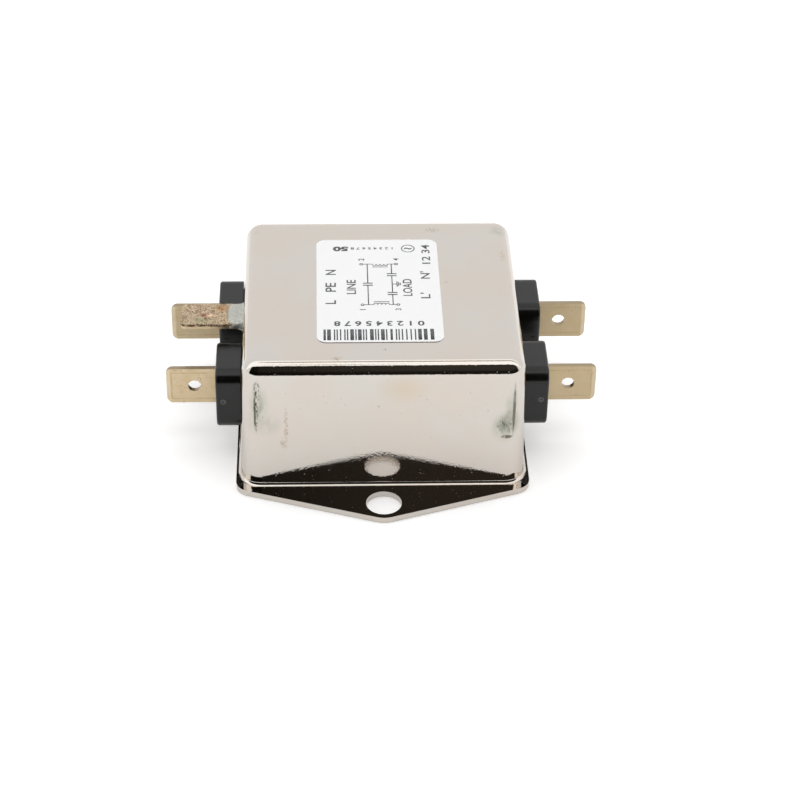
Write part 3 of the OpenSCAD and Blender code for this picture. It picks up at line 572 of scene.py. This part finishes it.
# %% Solder: the bead
bead_low, bead_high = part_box("earth_solder")
earth_low, earth_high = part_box("earth_blade")
axis_z = (earth_low.z + earth_high.z) / 2
half_blade = (earth_high.y - earth_low.y) / 2
wall_x = bead_high.x
reach = bead_high.x - bead_low.x
RINGS, AROUND = 44, 96
BESIDE, HALF_THICK = 0.12, 1.2      # mm of solder beside the blade, and above or below its middle
FOOT_WIDE, FOOT_HIGH = 0.5, 0.9     # mm that the foot adds at the wall, sideways and upwards
FOOT_FADES = 0.12                   # in this share of the way to the lip
BLUNT = 0.985                       # how much of the oval is gone at the lip: high powers keep it full
SWELLS = ((0.07, 1.6), (0.035, 0.6), (0.012, 0.25))     # share of the radius, and size in mm
rows = []
for r in range(RINGS + 1):
    t = r / RINGS
    flare = math.exp(-t / FOOT_FADES)
    half_y = (half_blade + BESIDE * MM) * math.sqrt(1 - BLUNT * t ** 16) + FOOT_WIDE * MM * flare
    half_z = HALF_THICK * MM * math.sqrt(1 - BLUNT * t ** 9) + FOOT_HIGH * MM * flare
    row = []
    for step in range(AROUND):
        turn = 2 * math.pi * step / AROUND
        y = half_y * math.copysign(abs(math.cos(turn)) ** 0.9, math.cos(turn))
        z = half_z * math.sin(turn)
        point = Vector((wall_x + 0.1 * MM - t * (reach + 0.1 * MM), y, z))
        swell = 1 + sum(share * lump(point, size) for share, size in SWELLS)
        if math.sin(turn) < -0.2:       # below the blade, solder has run down the wall in drips
            swell += 0.18 * flare * max(0.0, lump(point, 0.5))
        point.y, point.z = point.y * swell, point.z * swell
        point.x += 0.3 * MM * t * (lump(Vector((0, y, 0)), 1.3) + 0.5 * lump(Vector((0, y, 0)), 0.5))
        row.append(Matrix.Rotation(-LEAN, 3, "X") @ point + Vector((0, 0, axis_z)))
    rows.append(row)
bead = ringed_piece("solder_bead", rows, cold_solder)
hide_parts("earth_solder")

# %% [markdown]
# The skin of tin was wiped on by hand over hot flux. It is pitted and straw-coloured, with a green stain
# and a burnt brown spot, and a pale spot over the filled hole that is a painted highlight. The mesh made
# below stores its own height as an attribute named relief, so the finish can paint shade into the hollows
# and make them duller than the crests.

# %% Tinned skin: finish
# The first three are stains; the last, a pale spot over the filled hole, is a painted highlight. Each:
# middle and radii in mm, and colour
STAINS_AND_HIGHLIGHT = (((-27.7, -2.0, 18.3), (2.0, 1.2, 2.0), "A5A585"), ((-24.6, 1.6, 18.1), (1.4, 1.4, 2.0), "B98C5E"),
          ((-27.3, -0.5, 18.3), (1.1, 0.8, 2.0), "8A4A38"), ((-26.4, -0.5, 18.3), (0.7, 0.7, 2.0), "FFD9BE"))
tinning, tree, shader = new_material("hand_tinned_brass", Metallic=0.85)
place = add(tree, "TexCoord").outputs["Object"]
relief = add(tree, "Attribute", attribute_name="relief").outputs["Fac"]
crest = painted(tree, "DCCBAE", (grain(tree, place, 1.3, 0.35, 0.65), "CDB69E"),
                (grain(tree, place, 0.22, 0.42, 0.6), "B29D7F"),
                *((spot(tree, place, centre, radii), colour) for centre, radii, colour in STAINS_AND_HIGHLIGHT))
# Painted shade: the hollows of the skin get a dark brown, and the crests their lighter colour
hollow_shade_mix = add(tree, "MapRange", {"Value": relief, "From Min": 0.2, "From Max": 0.5})
tree.links.new(painted(tree, "7C664C", (hollow_shade_mix, crest)), shader.inputs["Base Color"])
sheen = add(tree, "MapRange", {"Value": relief, "To Min": 0.65, "To Max": 0.35})
tree.links.new(sheen.outputs[0], shader.inputs["Roughness"])
grit = add(tree, "Bump", {"Height": grain(tree, place, 0.15), "Strength": 1.0, "Distance": 0.02 * MM})
tree.links.new(grit.outputs[0], shader.inputs["Normal"])
finish_of["rough_tinning"] = tinning
print("tinned skin:", len(STAINS_AND_HIGHLIGHT), "stains")

# %% [markdown]
# The skin is a grid over the blade's top, from the tip to the bead. Its two long sides turn down over the
# blade's edges as a short skirt, and its rings close underneath, so it is a solid and not a sheet.

# %% Tinned skin: shape
tip_x = earth_low.x
skin_end = wall_x - 0.7 * reach
ALONG, ACROSS = 120, 90
SKIRT = ((1.0, -0.34), (1.02, -0.2), (1.02, -0.05))    # share of the half width, drop in mm, at each edge
TIP_R = 1.0 * MM                    # corner radius of the blade's tip, which the skin follows
profile = ([(-share, drop) for share, drop in SKIRT]
           + [(-1 + 2 * (c + 0.5) / ACROSS, None) for c in range(ACROSS)]
           + [(share, drop) for share, drop in reversed(SKIRT)])
BLADE_TOP = 0.4 * MM                # from the middle of the blade's thickness to its top
CREST, LIFT = 0.26 * MM, 0.02 * MM  # height of the highest crests, and of the flattest place
rows, heights = [], []
for r in range(ALONG + 1):
    u = r / ALONG
    x = tip_x - 0.05 * MM + u * (skin_end - tip_x)
    short = TIP_R - min(TIP_R, x - tip_x + 0.12 * MM)
    narrowed = 1 - (TIP_R - math.sqrt(TIP_R ** 2 - short ** 2)) / half_blade
    row = []
    for share, drop in profile:
        y = share * half_blade * narrowed
        here = Vector((x, y, 0))
        # The height is a share of CREST: sharp ridges 0.42 mm wide, soft swells and fine grit
        ridge = 1 - 3 * abs(lump(here, 0.42))
        height = 0.42 + 0.34 * ridge + 0.22 * lump(here, 1.1) + 0.3 * lump(here, 0.2)
        y += 0.06 * MM * lump(here, 0.4) * abs(share)
        if drop is None:
            edge = min(1.0, (1 - abs(share)) / 0.06) * min(1.0, (u + 0.01) / 0.03)
            z = BLADE_TOP + LIFT + CREST * max(0.05, height) * edge
        else:
            z = BLADE_TOP + drop * MM * (1.0 + 0.5 * lump(here, 0.8))
            height = 0.2 + 0.6 * lump(here, 0.5) + 0.3 * lump(here, 0.2)
        row.append(Matrix.Rotation(-LEAN, 3, "X") @ Vector((x, y, z)) + Vector((0, 0, axis_z)))
        heights.append(height)
    rows.append(row)
skin = ringed_piece("tinned_skin", rows, tinning)
stored = skin.data.attributes.new("relief", "FLOAT", "POINT")
stored.data.foreach_set("value", [min(1.0, max(0.0, h)) for h in heights])
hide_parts("earth_tinning")

# %% [markdown]
# ## Finishes on the solids
# The record names a material slot for each solid. Each slot has its finish by now, so one loop hands
# them out.

# %% Finishes on the solids
for name, piece in nodes.items():
    piece.data.materials.clear()
    piece.data.materials.append(finish_of[slot_of[name]])
print("finishes on the solids:", len(finish_of))

# %% [markdown]
# ## Label print
# Thermal transfer print: a film of black ink a few thousandths of a millimetre thick, with a matt face
# and small gaps that make it look dark grey. Letters are text objects turned into meshes and scaled to
# the height and length wanted. An image texture could print them too, but meshes stay sharp at any size.

# %% Ink
ink, tree, shader = new_material("thermal_transfer_ink", Roughness=0.45)
place = add(tree, "TexCoord").outputs["Object"]
worn = painted(tree, "35373A", (grain(tree, place, 0.25, 0.4, 0.75), "6E7073"))
tree.links.new(worn, shader.inputs["Base Color"])
label_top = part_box("label")[1].z
INK = 0.02 * MM                     # thickness of the ink, drawn thicker than the real 0.005 mm
print("ink:", round(INK / MM, 3), "mm thick, on a label whose face is", round(label_top / MM, 2), "mm up")

# %% [markdown]
# The print needs three kinds of mark: letters, drawn lines and circles. Blender makes letters and lines
# as curves with a thickness, so both are turned into meshes here, pressed flat to the ink's thickness and
# laid on the label. Marks that belong together are then joined into one piece.

# %% Helpers for the print
def mesh_of(curve):
    """The mesh that a curve or text makes, without the curve's own object."""
    holder = bpy.data.objects.new("holder", curve)
    bpy.context.scene.collection.objects.link(holder)
    mesh = bpy.data.meshes.new_from_object(holder.evaluated_get(bpy.context.evaluated_depsgraph_get()))
    bpy.data.objects.remove(holder)
    return mesh


def letters(text, middle, height, length, turn, weight=0.008):
    """Flat letters scaled to a height in mm, and to a length if it isn't 0, about a point on the label."""
    font = bpy.data.curves.new("letters", "FONT")
    font.body = text
    font.extrude = 0.5
    font.offset = weight
    mesh = mesh_of(font)
    low, high = ([f(v.co[i] for v in mesh.vertices) for i in range(3)] for f in (min, max))
    mesh.transform(Matrix.Translation([-(a + b) / 2 for a, b in zip(low, high)]))
    tall = height / (high[1] - low[1]) * MM
    wide = length / (high[0] - low[0]) * MM if length else tall
    mesh.transform(Matrix.Diagonal((wide, tall, INK, 1.0)))
    mesh.transform(Matrix.Rotation(math.radians(turn), 4, "Z"))
    mesh.transform(Matrix.Translation((middle[0] * MM, middle[1] * MM, label_top + INK / 2)))
    return mesh


def stroke(points, width=0.16, closed=False):
    """A drawn line through points in mm on the label, pressed flat to the ink's thickness."""
    curve = bpy.data.curves.new("stroke", "CURVE")
    curve.dimensions = "3D"
    curve.bevel_depth = width / 2 * MM
    curve.bevel_resolution = 1
    curve.use_fill_caps = True
    spline = curve.splines.new("POLY")
    spline.points.add(len(points) - 1)
    for target, (x, y) in zip(spline.points, points):
        target.co = (x * MM, y * MM, 0, 1)
    spline.use_cyclic_u = closed
    mesh = mesh_of(curve)
    mesh.transform(Matrix.Diagonal((1, 1, INK / (width * MM), 1)))
    mesh.transform(Matrix.Translation((0, 0, label_top + INK / 2)))
    return mesh


def ring(middle, radius):
    """A drawn circle."""
    return stroke([(middle[0] + radius * math.cos(a), middle[1] + radius * math.sin(a))
                   for a in (2 * math.pi * k / 20 for k in range(20))], closed=True)


def printed(name, meshes):
    """Joins meshes into one piece of print on the label."""
    joined = bmesh.new()
    for mesh in meshes:
        joined.from_mesh(mesh)
    bmesh.ops.remove_doubles(joined, verts=joined.verts, dist=0.0001 * MM)
    whole = bpy.data.meshes.new(name)
    joined.to_mesh(whole)
    joined.free()
    whole.materials.clear()
    whole.materials.append(ink)
    piece = bpy.data.objects.new(name, whole)
    bpy.context.scene.collection.objects.link(piece)
    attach(piece, "root")
    print(name, len(whole.polygons), "faces")


# %% [markdown]
# The terminals' letters stand beside the terminals they name, with LINE and LOAD for the two sides. They
# read from the line side.

# %% Terminal marks
# Text, middle, height and length in mm
WORDS = [("L", (-7.76, -3.85), 1.6, 0.95), ("PE", (-7.73, 0.19), 1.6, 2.4), ("N", (-7.7, 4.33), 1.6, 1.35),
         ("LINE", (-4.57, 0.25), 1.4, 3.85), ("LOAD", (4.08, 0.05), 1.4, 4.6),
         ("L'", (6.75, -2.2), 1.5, 1.5), ("N'", (6.9, 3.45), 1.5, 2.0), ("12 34", (7.25, 9.34), 1.3, 5.4)]
printed("terminal_marks", [letters(*word, turn=90) for word in WORDS])

# %% [markdown]
# A sketch of what the can holds: a choke winding in each conductor, one capacitor across the two, and a
# pair of capacitors from the conductors to earth. It is drawn with strokes, as with a pen.

# %% Circuit sketch
LINE_Y, NEUTRAL_Y = -4.6, 6.6       # the two conductors, with a choke winding in the middle of each
START_X, END_X = -2.7, 2.3
COIL_R, COIL_TURNS = 0.3, 4
sketch = []
for y, side in ((LINE_Y, 1), (NEUTRAL_Y, -1)):
    left = -COIL_R * COIL_TURNS
    bumps = [(left + COIL_R * (2 * k + 1 - math.cos(a)), y + side * 1.4 * COIL_R * math.sin(a))
             for k in range(COIL_TURNS) for a in (math.pi * step / 6 for step in range(7))]
    sketch.append(stroke([(START_X, y)] + bumps + [(END_X, y)]))
    sketch.append(stroke([(left, y + side * 0.8), (-left, y + side * 0.8)]))
    sketch += [ring((x, y), 0.22) for x in (START_X - 0.22, END_X + 0.22)]
middle_y = (LINE_Y + NEUTRAL_Y) / 2
PLATE, GAP = 0.75, 0.28             # half a capacitor plate's length, and half the gap between two
ACROSS_X, PAIR_X, PAIR_OFF = -2.0, 1.75, 2.6    # the one across, the pair, and its way off the middle
EARTH_X, BARS_APART = 2.5, 0.25     # the earth sign, of three bars
for x, places in ((ACROSS_X, [middle_y]), (PAIR_X, [middle_y - PAIR_OFF, middle_y + PAIR_OFF])):
    stops = [LINE_Y] + [c + d for c in places for d in (-GAP, GAP)] + [NEUTRAL_Y]
    sketch += [stroke([(x, a), (x, b)]) for a, b in zip(stops[0::2], stops[1::2])]
    sketch += [stroke([(x - PLATE, y), (x + PLATE, y)], 0.24) for y in stops[1:-1]]
sketch.append(stroke([(PAIR_X, middle_y), (EARTH_X, middle_y)]))
sketch += [stroke([(EARTH_X + BARS_APART * k, middle_y - half), (EARTH_X + BARS_APART * k, middle_y + half)])
           for k, half in enumerate((0.7, 0.5, 0.3))]
sketch += [letters(number, (x, y), 0.9, 0, 90)
           for number, x, y in (("1", -2.9, -5.9), ("2", -2.9, 7.9), ("3", 2.5, -5.9), ("4", 2.5, 7.9))]
printed("circuit_sketch", sketch)

# %% [markdown]
# A row of bars of random widths, and plain numbers, which read from the far side, so they are turned half
# round. The random numbers have a seed, so the bars are the same each time.

# %% Numbers and bars
random.seed(7)
FIRST_BAR, LAST_BAR = -8.9, 7.2     # mm
bars = []
x = FIRST_BAR
while x < LAST_BAR:
    width = random.choice((0.2, 0.2, 0.35, 0.55))
    bars.append(stroke([(x + width / 2, -13.9), (x + width / 2, -11.1)], width))
    x += width + random.choice((0.2, 0.3, 0.45))
printed("bar_row", bars)
printed("number_row", [letters("0 1 2 3 4 5 6 7 8", (-0.5, -9.6), 1.25, 13.6, 180, weight=0.02),
                       letters("1 2 3 4 5 6 7 8", (-1.2, 11.1), 0.6, 6.6, 180),
                       letters("50", (-6.1, 11.0), 1.3, 2.4, 180, weight=0.05),
                       ring((4.5, 11.0), 1.0), letters("~", (4.5, 11.0), 0.5, 1.2, 180)])
